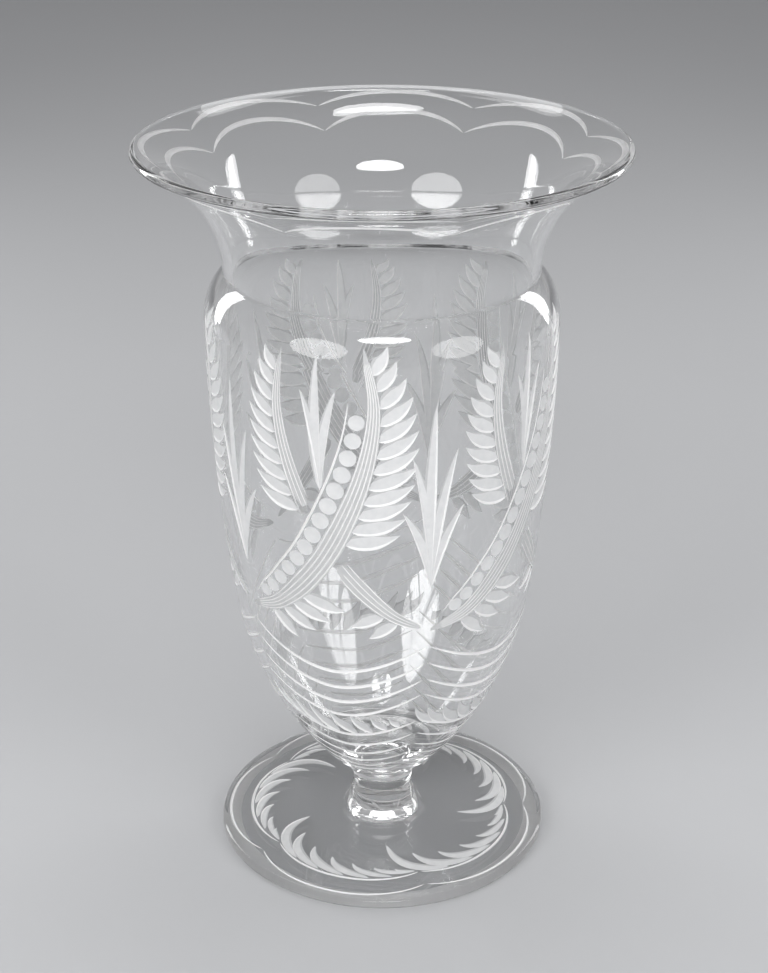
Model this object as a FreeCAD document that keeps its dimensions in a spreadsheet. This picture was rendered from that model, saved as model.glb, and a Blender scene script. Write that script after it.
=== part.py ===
# Footed celery vase of clear blown glass: foot, stem, wafer and bowl, fused one on the other.
# Millimetres, +Z up. The origin is the middle of the ring that the foot stands on.
# Each piece is a section turned about the upright axis. It is drawn from its own seat up,
# and its Placement lifts it on to the piece below.
import FreeCAD, Part
import math
import os
from enum import IntEnum
from typing import NamedTuple

import Sketcher

# Driving sizes. Radii are to the outer surface, heights are measured from the piece's own seat.
SIZES = {
    "foot_radius": 58.2,
    "foot_edge": 3.8,
    "foot_dome": 1.2,
    "ground_ring_width": 5.0,
    "foot_hollow": 1.2,
    "collar_width": 6.2,
    "collar_fillet": 8.0,
    "collar_rise": 1.0,
    "bead_radius": 11.4,
    "bead_rounding": 13.0,
    "stem_length": 9.8,
    "stem_top_radius": 9.7,
    "wafer_thickness": 6.6,
    "wafer_lip": 1.3,
    "wafer_swell": 0.9,
    "wafer_rounding": 1.2,
    "wafer_hollow": 12.0,
    "bowl_seat_radius": 12.0,
    "body_radius": 57.6,
    "shoulder_height": 171.4,
    "shoulder_rounding": 20.2,
    "neck_inset": 6.55,
    "flare_height": 41.3,
    "rim_radius": 78.5,
    "wall": 3.0,
    "side_arc": 680.0,
    "taper_arc": 124.6,
    "floor_thickness": 5.0,
}

# Foot: where the flat ground ring starts and ends, and the arcs of its top and underside.
FOOT_WORK = {
    "edge_middle": "Sizes.foot_radius - Sizes.foot_edge / 2",
    "ring_start": "edge_middle - Sizes.ground_ring_width",
    "hollow_arc": "(ring_start ^ 2 + Sizes.foot_hollow ^ 2) / (2 * Sizes.foot_hollow)",
    "foot_top": "Sizes.foot_edge + Sizes.foot_dome",
    "collar_reach": "Sizes.bead_radius + Sizes.collar_width",
    "dome_run": "edge_middle - collar_reach",
    "dome_arc": "(dome_run ^ 2 + Sizes.foot_dome ^ 2) / (2 * Sizes.foot_dome)",
}

# Collar: one hollow fillet runs from the foot's top up the stem, and the stem's seat cuts it.
COLLAR_WORK = {
    "stem_seat": "foot_top + Sizes.collar_rise",
    "collar_centre": "Sizes.collar_fillet - Sizes.collar_rise",
    "stem_base_radius": "collar_reach - sqrt(Sizes.collar_fillet ^ 2 - collar_centre ^ 2)",
    "bead_start": "collar_centre - sqrt(Sizes.collar_fillet ^ 2 - Sizes.collar_width ^ 2)",
}

# Wafer: the swollen lower edge, above which it is drawn in a little before it meets the bowl.
WAFER_WORK = {
    "wafer_lip_radius": "Sizes.stem_top_radius + Sizes.wafer_swell",
}

# Outside of the bowl: two arcs, upright at the shoulder and tangent where the side meets the taper.
SIDE_WORK = {
    "side_centre": "Sizes.body_radius - Sizes.side_arc",
    "seat_run": "Sizes.bowl_seat_radius - side_centre",
    "seat_distance": "hypot(seat_run; Sizes.shoulder_height)",
    "centre_gap": "Sizes.side_arc - Sizes.taper_arc",
    "gap_spread": "seat_distance ^ 2 + centre_gap ^ 2 - Sizes.taper_arc ^ 2",
    "gap_cosine": "gap_spread / (2 * seat_distance * centre_gap)",
    "side_turn": "atan(Sizes.shoulder_height / seat_run) - acos(gap_cosine)",
    "joint_radius": "side_centre + Sizes.side_arc * cos(side_turn)",
    "joint_height": "Sizes.shoulder_height - Sizes.side_arc * sin(side_turn)",
    "taper_centre": "side_centre + centre_gap * cos(side_turn)",
    "taper_centre_height": "Sizes.shoulder_height - centre_gap * sin(side_turn)",
}

# Shoulder and neck: the shoulder's arc ends in a crease, where the neck starts upright.
NECK_WORK = {
    "neck_radius": "Sizes.body_radius - Sizes.neck_inset",
    "shoulder_centre": "Sizes.body_radius - Sizes.shoulder_rounding",
    "crease_cosine": "(neck_radius - shoulder_centre) / Sizes.shoulder_rounding",
    "crease_sine": "sqrt(1 - crease_cosine ^ 2)",
    "crease_height": "Sizes.shoulder_height + Sizes.shoulder_rounding * crease_sine",
}

# Flare: one arc on each side of the glass, upright at the crease and closed by the round lip.
FLARE_WORK = {
    "half_wall": "Sizes.wall / 2",
    "lip_centre": "Sizes.rim_radius - half_wall",
    "flare_reach": "Sizes.rim_radius - neck_radius",
    "flare_rise": "Sizes.flare_height - half_wall",
    "lip_height": "crease_height + flare_rise",
    "flare_middle": "(flare_reach ^ 2 + flare_rise ^ 2) / (2 * flare_reach)",
    "flare_outside": "flare_middle - half_wall",
    "flare_inside": "flare_middle + half_wall",
    "flare_cosine": "1 - flare_reach / flare_middle",
    "flare_sine": "flare_rise / flare_middle",
    "lip_under_radius": "lip_centre + half_wall * flare_cosine",
    "lip_under_height": "lip_height - half_wall * flare_sine",
    "lip_over_radius": "lip_centre - half_wall * flare_cosine",
    "lip_over_height": "lip_height + half_wall * flare_sine",
}

# Inside of the bowl: the outer arcs moved in by the wall, closed by a round well on the axis.
BORE_WORK = {
    "neck_bore": "neck_radius - Sizes.wall",
    "shoulder_inside": "Sizes.shoulder_rounding - Sizes.wall",
    "ridge_radius": "shoulder_centre + shoulder_inside * crease_cosine",
    "ridge_height": "Sizes.shoulder_height + shoulder_inside * crease_sine",
    "body_bore": "Sizes.body_radius - Sizes.wall",
    "side_inside": "Sizes.side_arc - Sizes.wall",
    "inner_joint_radius": "side_centre + side_inside * cos(side_turn)",
    "inner_joint_height": "Sizes.shoulder_height - side_inside * sin(side_turn)",
    "taper_inside": "Sizes.taper_arc - Sizes.wall",
    "floor_run": "taper_centre_height - Sizes.floor_thickness",
    "well_excess": "taper_inside ^ 2 - taper_centre ^ 2 - floor_run ^ 2",
    "well_arc": "well_excess / (2 * (taper_inside - floor_run))",
    "well_centre_height": "Sizes.floor_thickness + well_arc",
    "well_spacing": "taper_inside - well_arc",
    "well_edge_radius": "-taper_centre * well_arc / well_spacing",
    "well_drop": "(taper_centre_height - well_centre_height) / well_spacing",
    "well_edge_height": "well_centre_height - well_arc * well_drop",
}

# Stack: the height at which each piece sits.
STACK_WORK = {
    "wafer_seat": "stem_seat + Sizes.stem_length",
    "bowl_seat": "wafer_seat + Sizes.wafer_thickness",
}


class Corner(NamedTuple):
    """A corner of a section and the run from it to the next corner.

    across and up name the corner's place, None on the axis or on the ground. run is line, left or
    right (an arc that turns that way) or cap (a half circle), and bend names the arc's radius, or
    for a cap the distance of its centre from the axis.
    """

    across: str | None
    up: str | None
    run: str = "line"
    bend: str | None = None


# Each section goes round its piece from the axis, outwards along the underside and up.
FOOT_SECTION = [
    Corner(None, "Sizes.foot_hollow", "right", "Work.hollow_arc"),
    Corner("Work.ring_start", None),
    Corner("Work.edge_middle", None, "cap", "Work.edge_middle"),
    Corner("Work.edge_middle", "Sizes.foot_edge", "left", "Work.dome_arc"),
    Corner("Work.collar_reach", "Work.foot_top", "right", "Sizes.collar_fillet"),
    Corner("Work.stem_base_radius", "Work.stem_seat"),
    Corner(None, "Work.stem_seat"),
]
STEM_SECTION = [
    Corner(None, None),
    Corner("Work.stem_base_radius", None, "right", "Sizes.collar_fillet"),
    Corner("Sizes.bead_radius", "Work.bead_start", "left", "Sizes.bead_rounding"),
    Corner("Sizes.stem_top_radius", "Sizes.stem_length"),
    Corner(None, "Sizes.stem_length"),
]
WAFER_SECTION = [
    Corner(None, None),
    Corner("Sizes.stem_top_radius", None, "left", "Sizes.wafer_rounding"),
    Corner("Work.wafer_lip_radius", "Sizes.wafer_lip", "right", "Sizes.wafer_hollow"),
    Corner("Sizes.bowl_seat_radius", "Sizes.wafer_thickness"),
    Corner(None, "Sizes.wafer_thickness"),
]
BOWL_SECTION = [
    Corner(None, None),
    Corner("Sizes.bowl_seat_radius", None, "left", "Sizes.taper_arc"),
    Corner("Work.joint_radius", "Work.joint_height", "left", "Sizes.side_arc"),
    Corner("Sizes.body_radius", "Sizes.shoulder_height", "left", "Sizes.shoulder_rounding"),
    Corner("Work.neck_radius", "Work.crease_height", "right", "Work.flare_outside"),
    Corner("Work.lip_under_radius", "Work.lip_under_height", "cap", "Work.lip_centre"),
    Corner("Work.lip_over_radius", "Work.lip_over_height", "left", "Work.flare_inside"),
    Corner("Work.neck_bore", "Work.crease_height", "left", "Sizes.wall"),
    Corner("Work.ridge_radius", "Work.ridge_height", "right", "Work.shoulder_inside"),
    Corner("Work.body_bore", "Sizes.shoulder_height", "right", "Work.side_inside"),
    Corner("Work.inner_joint_radius", "Work.inner_joint_height", "right", "Work.taper_inside"),
    Corner("Work.well_edge_radius", "Work.well_edge_height", "right", "Work.well_arc"),
    Corner(None, "Sizes.floor_thickness"),
]

FULL_TURN = 360.0
UPRIGHT = FreeCAD.Vector(0, 0, 1)


class Anchor(IntEnum):
    """How a sketch numbers its own axes and the points of an edge."""

    AXIS = -2
    GROUND = -1
    START = 1
    END = 2
    CENTRE = 3


def fill_sheet(document, name, cells):
    """Write one named cell a row: the alias in column A, its number or formula in column B."""
    sheet = document.addObject("Spreadsheet::Sheet", name)
    for row, (alias, content) in enumerate(cells.items(), start=1):
        sheet.set(f"A{row}", alias)
        sheet.setAlias(f"B{row}", alias)
        sheet.set(f"B{row}", f"={content}" if isinstance(content, str) else str(content))
    document.recompute()
    return sheet


def cell_value(document, cell):
    """Read a cell named as Sheet.alias. No name means the axis or the ground, at zero."""
    if cell is None:
        return 0.0
    sheet, alias = cell.split(".")
    return float(getattr(document, sheet).get(alias))


def run_shape(start, end, corner, bend):
    """The line or arc from start to end, and whether it is drawn backwards.

    An arc is always drawn anticlockwise, so one that turns right is drawn from its end.
    """
    if corner.run == "line":
        return Part.LineSegment(start, end), False
    chord = end - start
    half_chord = chord.Length / 2
    radius = half_chord if corner.run == "cap" else bend
    backwards = corner.run == "right"
    leftwards = UPRIGHT.cross(chord).normalize()
    rise = math.sqrt(max(radius**2 - half_chord**2, 0.0))
    centre = (start + end) / 2 + leftwards * (-rise if backwards else rise)
    first, last = (end, start) if backwards else (start, end)
    first_angle = math.atan2(first.y - centre.y, first.x - centre.x)
    last_angle = math.atan2(last.y - centre.y, last.x - centre.x)
    if last_angle < first_angle:
        last_angle += 2 * math.pi
    circle = Part.Circle(centre, UPRIGHT, radius)
    return Part.ArcOfCircle(circle, first_angle, last_angle), backwards


def bind(sketch, constraint, cell):
    """Add a constraint whose value is the cell's."""
    index = sketch.addConstraint(constraint)
    sketch.setExpression(f"Constraints[{index}]", cell)


def draw_section(sketch, corners):
    """Draw the closed section and fix each corner and each arc by a cell of the sheets."""
    document = sketch.Document
    places = [
        FreeCAD.Vector(cell_value(document, corner.across), cell_value(document, corner.up), 0)
        for corner in corners
    ]
    run_ends = []
    for place, following, corner in zip(places, places[1:] + places[:1], corners):
        shape, backwards = run_shape(place, following, corner, cell_value(document, corner.bend))
        edge = sketch.addGeometry(shape, False)
        ends = (Anchor.END, Anchor.START) if backwards else (Anchor.START, Anchor.END)
        run_ends.append((edge, *ends))
    for (edge, _, leave), (next_edge, enter, _) in zip(run_ends, run_ends[1:] + run_ends[:1]):
        sketch.addConstraint(Sketcher.Constraint("Coincident", edge, leave, next_edge, enter))
    for corner, place, (edge, enter, _) in zip(corners, places, run_ends):
        if corner.across is None:
            sketch.addConstraint(Sketcher.Constraint("PointOnObject", edge, enter, Anchor.AXIS))
        else:
            bind(sketch, Sketcher.Constraint("DistanceX", edge, enter, place.x), corner.across)
        if corner.up is None:
            sketch.addConstraint(Sketcher.Constraint("PointOnObject", edge, enter, Anchor.GROUND))
        else:
            bind(sketch, Sketcher.Constraint("DistanceY", edge, enter, place.y), corner.up)
        if corner.bend is None:
            continue
        bend = cell_value(document, corner.bend)
        if corner.run == "cap":
            bind(sketch, Sketcher.Constraint("DistanceX", edge, Anchor.CENTRE, bend), corner.bend)
        else:
            bind(sketch, Sketcher.Constraint("Radius", edge, bend), corner.bend)


def turned_piece(document, name, corners, seat=None):
    """A body made by turning a section about the upright axis, standing at the height seat."""
    body = document.addObject("PartDesign::Body", name)
    body.Label = name
    planes = {plane.Role: plane for plane in body.Origin.OriginFeatures}
    sketch = body.newObject("Sketcher::SketchObject", f"{name}_section")
    sketch.AttachmentSupport = (planes["XZ_Plane"], [""])
    sketch.MapMode = "FlatFace"
    draw_section(sketch, corners)
    document.recompute()
    turning = body.newObject("PartDesign::Revolution", f"{name}_turning")
    turning.Profile = sketch
    turning.ReferenceAxis = (sketch, ["V_Axis"])
    turning.Angle = FULL_TURN
    sketch.Visibility = False
    if seat is not None:
        body.setExpression("Placement.Base.z", seat)
    document.recompute()
    return body


def check_piece(body):
    """Stop if the piece isn't one valid solid on a fully fixed section."""
    shape = body.Shape
    if shape.isNull() or not shape.isValid() or len(shape.Solids) != 1:
        raise RuntimeError(f"{body.Label} isn't one valid solid")
    for feature in body.Group:
        if feature.TypeId == "Sketcher::SketchObject" and not feature.FullyConstrained:
            raise RuntimeError(f"{feature.Name} isn't fully constrained")


document = FreeCAD.newDocument("celery_vase")
fill_sheet(document, "Sizes", SIZES)
fill_sheet(
    document,
    "Work",
    FOOT_WORK | COLLAR_WORK | WAFER_WORK | SIDE_WORK | NECK_WORK | FLARE_WORK | BORE_WORK | STACK_WORK,
)
pieces = [
    turned_piece(document, "foot", FOOT_SECTION),
    turned_piece(document, "stem", STEM_SECTION, "Work.stem_seat"),
    turned_piece(document, "wafer", WAFER_SECTION, "Work.wafer_seat"),
    turned_piece(document, "bowl", BOWL_SECTION, "Work.bowl_seat"),
]
document.recompute()

for item in document.Objects:
    if {"Invalid", "Error"} & set(item.State):
        raise RuntimeError(f"{item.Name} failed: {item.State}")
for piece in pieces:
    check_piece(piece)

os.makedirs("parts", exist_ok=True)
for piece in pieces:
    piece.Shape.exportStep(f"parts/{piece.Label}.step")
    box = piece.Shape.optimalBoundingBox()
    print(
        f"{piece.Label}: radius {box.XMax:.2f}, from {box.ZMin:.2f} to {box.ZMax:.2f} mm, "
        f"{piece.Shape.Volume / 1000:.1f} cm3"
    )
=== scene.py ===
# Clear cut-glass celery vase on a plain pale floor. Four turned glass pieces stand for the four
# CAD nodes, and the cut ornament is real geometry, taken out of the clean turned solids stroke by
# stroke.
import math
from typing import NamedTuple

import bmesh
import bpy
import numpy as np
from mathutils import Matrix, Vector


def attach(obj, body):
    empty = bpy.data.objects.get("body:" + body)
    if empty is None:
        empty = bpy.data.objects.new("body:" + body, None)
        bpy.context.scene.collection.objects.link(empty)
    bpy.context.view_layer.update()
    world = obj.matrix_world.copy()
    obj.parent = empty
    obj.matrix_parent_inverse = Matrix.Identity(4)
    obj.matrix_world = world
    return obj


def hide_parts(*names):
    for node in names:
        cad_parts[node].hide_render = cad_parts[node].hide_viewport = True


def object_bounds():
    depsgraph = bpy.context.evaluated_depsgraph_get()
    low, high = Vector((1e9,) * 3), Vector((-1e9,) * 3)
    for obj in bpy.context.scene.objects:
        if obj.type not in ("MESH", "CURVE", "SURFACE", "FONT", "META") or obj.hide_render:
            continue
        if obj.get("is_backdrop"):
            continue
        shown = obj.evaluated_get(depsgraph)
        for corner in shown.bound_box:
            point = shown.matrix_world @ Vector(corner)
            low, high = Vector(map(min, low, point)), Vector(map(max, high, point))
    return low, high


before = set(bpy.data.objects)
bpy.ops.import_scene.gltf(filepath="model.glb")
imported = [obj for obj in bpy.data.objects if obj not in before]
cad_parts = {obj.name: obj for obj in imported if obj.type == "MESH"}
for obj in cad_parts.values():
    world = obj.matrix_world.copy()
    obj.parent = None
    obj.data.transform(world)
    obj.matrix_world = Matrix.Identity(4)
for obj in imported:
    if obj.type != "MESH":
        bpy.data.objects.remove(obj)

cad_low, cad_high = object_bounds()

# The sections are drawn in millimetres for a vase of the drawn height, and scaled to the frame's
# height.
DRAWN_HEIGHT = 249.99
MM = (cad_high.z - cad_low.z) / DRAWN_HEIGHT
FLOOR_HEIGHT = cad_low.z

# Foot, in millimetres.
FOOT_RADIUS = 58.2
FOOT_EDGE = 3.8
FOOT_DOME = 1.2
GROUND_RING_WIDTH = 5.0
FOOT_HOLLOW = 1.2

# Stem and its collar.
BEAD_RADIUS = 11.4
BEAD_ROUNDING = 13.0
COLLAR_WIDTH = 6.2
COLLAR_FILLET = 8.0
COLLAR_RISE = 1.0
STEM_LENGTH = 9.8
STEM_TOP_RADIUS = 9.7

# Wafer between the stem and the bowl.
WAFER_THICKNESS = 6.6
WAFER_LIP = 1.3
WAFER_SWELL = 0.9
WAFER_ROUNDING = 1.2
WAFER_HOLLOW = 12.0

# Bowl.
BOWL_SEAT_RADIUS = 12.0
BODY_RADIUS = 57.6
SHOULDER_HEIGHT = 171.4
SHOULDER_ROUNDING = 20.2
NECK_INSET = 6.55
FLARE_HEIGHT = 41.3
RIM_RADIUS = 78.5
WALL = 3.0
SIDE_ARC = 680.0
TAPER_ARC = 124.6
FLOOR_THICKNESS = 5.0

# How finely the turned surfaces are divided: steps round the axis, and the longest step and the
# widest turn along a section.
TURN_STEPS = 192
LONGEST_STEP = 5.0
WIDEST_TURN = math.radians(4.0)

# What is closer than NEAR is taken as one place or angle. TINY keeps divisions away from zero.
NEAR = 1e-6
TINY = 1e-9


class Run(NamedTuple):
    """One line or arc of a section, drawn with the glass on its left. side is 1 where the arc's
    centre lies to the left, -1 where it lies to the right, and 0 for a line."""

    start: tuple
    end: tuple
    side: int = 0
    centre: tuple = (0.0, 0.0)
    radius: float = 0.0


def arc(start, end, radius, side):
    """The shorter arc from start to end, its centre to the left (side 1) or the right (-1)."""
    (r0, z0), (r1, z1) = start, end
    half = math.hypot(r1 - r0, z1 - z0) / 2
    reach = math.sqrt(max(radius**2 - half**2, 0.0))
    left = (-(z1 - z0) / (2 * half), (r1 - r0) / (2 * half))
    middle = ((r0 + r1) / 2, (z0 + z1) / 2)
    centre = (middle[0] + side * reach * left[0], middle[1] + side * reach * left[1])
    return Run(start, end, side, centre, radius)


def polar(centre, radius, angle):
    return (centre[0] + radius * math.cos(angle), centre[1] + radius * math.sin(angle))


def run_turn(run):
    """The angle at which an arc starts, and how far it turns."""
    first = math.atan2(run.start[1] - run.centre[1], run.start[0] - run.centre[0])
    last = math.atan2(run.end[1] - run.centre[1], run.end[0] - run.centre[0])
    turn = (last - first + math.pi) % math.tau - math.pi
    if abs(abs(turn) - math.pi) < NEAR:
        turn = run.side * math.pi
    return first, turn


def run_points(run, fineness=1.0):
    """Points along a run with its outward normals, both ends included."""
    if run.side == 0:
        length = math.dist(run.start, run.end)
        steps = max(1, math.ceil(length / (LONGEST_STEP * fineness)))
        share = np.linspace(0, 1, steps + 1)[:, None]
        points = np.array(run.start) * (1 - share) + np.array(run.end) * share
        along = (np.array(run.end) - np.array(run.start)) / length
        return points, np.tile([along[1], -along[0]], (steps + 1, 1))
    first, turn = run_turn(run)
    step = min(WIDEST_TURN * fineness, LONGEST_STEP * fineness / run.radius)
    steps = max(1, math.ceil(abs(turn) / step))
    angles = first + np.linspace(0, 1, steps + 1) * turn
    outward = np.stack([np.cos(angles), np.sin(angles)], 1)
    return np.array(run.centre) + run.radius * outward, run.side * outward


def run_fit(run, spots):
    """How far each spot of the section is from a run, and the run's outward normal there."""
    ends = np.minimum(np.hypot(*(spots - run.start).T), np.hypot(*(spots - run.end).T))
    if run.side == 0:
        along = np.array(run.end) - np.array(run.start)
        length = np.hypot(*along)
        along = along / length
        share = (spots - run.start) @ along / length
        normal = np.tile([along[1], -along[0]], (len(spots), 1))
        off = np.abs(((spots - run.start) * normal).sum(1))
    else:
        first, turn = run_turn(run)
        from_centre = spots - run.centre
        reach = np.maximum(np.hypot(*from_centre.T), TINY)
        angle = np.arctan2(from_centre[:, 1], from_centre[:, 0]) - first
        share = ((angle - turn / 2 + math.pi) % math.tau - math.pi + turn / 2) / turn
        normal = run.side * from_centre / reach[:, None]
        off = np.abs(reach - run.radius)
    return np.where((share >= 0) & (share <= 1), off, ends), normal


# Sections, each from the axis at the bottom, up the outside and back to the axis.
edge_middle = FOOT_RADIUS - FOOT_EDGE / 2
edge_centre = (edge_middle, FOOT_EDGE / 2)
ring_start = edge_middle - GROUND_RING_WIDTH
foot_top = FOOT_EDGE + FOOT_DOME
collar_reach = BEAD_RADIUS + COLLAR_WIDTH
dome_run = edge_middle - collar_reach
dome_arc = (dome_run**2 + FOOT_DOME**2) / (2 * FOOT_DOME)
hollow_arc = (ring_start**2 + FOOT_HOLLOW**2) / (2 * FOOT_HOLLOW)
stem_seat = foot_top + COLLAR_RISE
collar_centre = (collar_reach, foot_top + COLLAR_FILLET)
collar_depth = math.sqrt(COLLAR_FILLET**2 - (COLLAR_FILLET - COLLAR_RISE) ** 2)
stem_base_radius = collar_reach - collar_depth
bead_start = collar_centre[1] - math.sqrt(COLLAR_FILLET**2 - COLLAR_WIDTH**2)
wafer_seat = stem_seat + STEM_LENGTH
bowl_seat = wafer_seat + WAFER_THICKNESS
wafer_lip = (STEM_TOP_RADIUS + WAFER_SWELL, wafer_seat + WAFER_LIP)

dome = arc((edge_middle, FOOT_EDGE), (collar_reach, foot_top), dome_arc, 1)
foot_section = [
    arc((0.0, FOOT_HOLLOW), (ring_start, 0.0), hollow_arc, -1),
    Run((ring_start, 0.0), (edge_middle, 0.0)),
    Run((edge_middle, 0.0), (edge_middle, FOOT_EDGE), 1, edge_centre, FOOT_EDGE / 2),
    dome,
    arc((collar_reach, foot_top), (stem_base_radius, stem_seat), COLLAR_FILLET, -1),
    Run((stem_base_radius, stem_seat), (0.0, stem_seat)),
]
stem_section = [
    Run((0.0, stem_seat), (stem_base_radius, stem_seat)),
    arc((stem_base_radius, stem_seat), (BEAD_RADIUS, bead_start), COLLAR_FILLET, -1),
    arc((BEAD_RADIUS, bead_start), (STEM_TOP_RADIUS, wafer_seat), BEAD_ROUNDING, 1),
    Run((STEM_TOP_RADIUS, wafer_seat), (0.0, wafer_seat)),
]
wafer_section = [
    Run((0.0, wafer_seat), (STEM_TOP_RADIUS, wafer_seat)),
    arc((STEM_TOP_RADIUS, wafer_seat), wafer_lip, WAFER_ROUNDING, 1),
    arc(wafer_lip, (BOWL_SEAT_RADIUS, bowl_seat), WAFER_HOLLOW, -1),
    Run((BOWL_SEAT_RADIUS, bowl_seat), (0.0, bowl_seat)),
]

# The side's arc stands upright at the shoulder, and the taper's arc runs on from it without a
# corner down to the seat.
shoulder_z = bowl_seat + SHOULDER_HEIGHT
side_centre = (BODY_RADIUS - SIDE_ARC, shoulder_z)


def taper_seat_gap(angle):
    """How far the taper's arc misses the seat's corner if it starts at this angle."""
    centre = polar(side_centre, SIDE_ARC - TAPER_ARC, -angle)
    return math.dist(centre, (BOWL_SEAT_RADIUS, bowl_seat)) - TAPER_ARC


def root(function, low, high, rounds=60):
    """Where function crosses zero between low and high."""
    rising = function(low) < function(high)
    for _ in range(rounds):
        middle = (low + high) / 2
        if (function(middle) < 0) == rising:
            low = middle
        else:
            high = middle
    return (low + high) / 2


JOINT_ANGLES = (math.radians(4), math.radians(14))
joint_angle = root(taper_seat_gap, *JOINT_ANGLES)
joint = polar(side_centre, SIDE_ARC, -joint_angle)
taper_centre = polar(side_centre, SIDE_ARC - TAPER_ARC, -joint_angle)
shoulder_centre = (BODY_RADIUS - SHOULDER_ROUNDING, shoulder_z)
crease_angle = math.acos(1 - NECK_INSET / SHOULDER_ROUNDING)
crease = polar(shoulder_centre, SHOULDER_ROUNDING, crease_angle)
lip_radius = WALL / 2
lip_rise = FLARE_HEIGHT - lip_radius
lip_run = RIM_RADIUS - lip_radius - (crease[0] - lip_radius)
flare_middle = (lip_run**2 + lip_rise**2) / (2 * lip_run)
flare_centre = (crease[0] - lip_radius + flare_middle, crease[1])
flare_turn = math.pi - math.atan2(lip_rise, flare_middle - lip_run)
lip_centre = polar(flare_centre, flare_middle, flare_turn)
flare_outside = flare_middle - lip_radius
flare_inside = flare_middle + lip_radius
ridge_end = polar(crease, WALL, math.pi + crease_angle)
well_floor = bowl_seat + FLOOR_THICKNESS
taper_inside = TAPER_ARC - WALL
well_drop = taper_centre[1] - well_floor
well_reach = taper_inside**2 - taper_centre[0] ** 2 - well_drop**2
well_arc = well_reach / (2 * (taper_inside - well_drop))
well_centre = (0.0, well_floor + well_arc)
well_angle = math.atan2(well_centre[1] - taper_centre[1], -taper_centre[0])
well_edge = polar(taper_centre, taper_inside, well_angle)

side_run = Run(joint, (BODY_RADIUS, shoulder_z), 1, side_centre, SIDE_ARC)
taper_run = Run((BOWL_SEAT_RADIUS, bowl_seat), joint, 1, taper_centre, TAPER_ARC)
shoulder_run = Run((BODY_RADIUS, shoulder_z), crease, 1, shoulder_centre, SHOULDER_ROUNDING)
flare_run = Run(
    crease, polar(flare_centre, flare_outside, flare_turn), -1, flare_centre, flare_outside
)
lip_inside = polar(flare_centre, flare_inside, flare_turn)
ridge_start = polar(flare_centre, flare_inside, math.pi)
shoulder_inside = (BODY_RADIUS - WALL, shoulder_z)
joint_inside = polar(side_centre, SIDE_ARC - WALL, -joint_angle)
bowl_section = [
    Run((0.0, bowl_seat), (BOWL_SEAT_RADIUS, bowl_seat)),
    taper_run,
    side_run,
    shoulder_run,
    flare_run,
    Run(flare_run.end, lip_inside, 1, lip_centre, lip_radius),
    Run(lip_inside, ridge_start, 1, flare_centre, flare_inside),
    Run(ridge_start, ridge_end, 1, crease, WALL),
    Run(ridge_end, shoulder_inside, -1, shoulder_centre, SHOULDER_ROUNDING - WALL),
    Run(shoulder_inside, joint_inside, -1, side_centre, SIDE_ARC - WALL),
    Run(joint_inside, well_edge, -1, taper_centre, taper_inside),
    Run(well_edge, (0.0, well_floor), -1, well_centre, well_arc),
]


class Skin:
    """A turned surface unrolled: across is the angle round the vase from its front, and up is the
    distance along the section. Strokes are drawn on it and then wrapped round the glass."""

    def __init__(self, runs, fineness=0.08):
        points, normals = [], []
        for run in runs:
            p, n = run_points(run, fineness)
            points.append(p)
            normals.append(n)
        self.points = np.concatenate(points)
        self.normals = np.concatenate(normals)
        steps = np.hypot(*np.diff(self.points, axis=0).T)
        self.up = np.concatenate([[0.0], np.cumsum(steps)])

    def radius(self, up):
        return np.interp(up, self.up, self.points[:, 0])

    def up_at_radius(self, radius):
        order = np.argsort(self.points[:, 0])
        return np.interp(radius, self.points[order, 0], self.up[order])

    def place(self, across, up, height):
        """Points in the frame, height millimetres off the glass."""
        r = np.interp(up, self.up, self.points[:, 0])
        z = np.interp(up, self.up, self.points[:, 1])
        nr = np.interp(up, self.up, self.normals[:, 0])
        nz = np.interp(up, self.up, self.normals[:, 1])
        size = np.hypot(nr, nz)
        r = r + height * nr / size
        z = z + height * nz / size
        return np.stack([r * np.sin(across), -r * np.cos(across), z], -1) * MM


body_skin = Skin([taper_run, side_run, shoulder_run])
flare_skin = Skin([flare_run])
foot_skin = Skin([dome])

# The cutters: closed solids that a stroke of the wheel takes out of the glass. Bevels, bands and
# discs stand LIFT off the surface, and each stroke's first and last section END_LIFT.
LIFT = 0.5
END_LIFT = 0.04


class Cutter(NamedTuple):
    points: np.ndarray
    faces: list
    looks: list
    trace: np.ndarray
    reach: float


# The finishes. The faint one is matted thinly: the bands, and the outer edge of each bevel.
CLEAR, SATIN, FAINT, BRIGHT, JOINT, GROUND = range(6)
BEVEL_LOOKS = (BRIGHT, BRIGHT, SATIN, SATIN, FAINT)


def profile(across, height, lift=LIFT):
    """A stroke's section, with its points at these places and heights as shares of the stroke's
    width and depth. It gives the across and height of each point for each station of the
    stroke."""
    across, height = np.array(across), np.array(height)

    def section(width, depth):
        a, h = width[:, None] * across, depth[:, None] * height
        h[:, [0, -1]] += lift
        return a, h

    return section


def groove(*across):
    """The section of a groove left by a round-edged wheel, with its points at these places."""
    across = np.array(across)
    return profile(across, across**2 - 1, lift=0.0)


round_section = groove(-1.3, -0.9, -0.45, 0.0, 0.45, 0.9, 1.3)
fine_section = groove(-1.25, -0.6, 0.0, 0.6, 1.25)
# A slanting cut: steep on the keel's outer side and fading out over the width on the other.
bevel_section = profile(
    (-0.26, -0.15, 0.0, 0.4, 0.75, 1.0, 1.15), (1.2, 0.0, -1.0, -0.62, -0.26, 0.0, 0.15)
)
# A shallow matted band of even depth.
flat_section = profile(
    (-1.06, -1.0, -0.94, -0.32, 0.32, 0.94, 1.0, 1.06), (0, 0, -1, -1, -1, -1, 0, 0)
)


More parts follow.
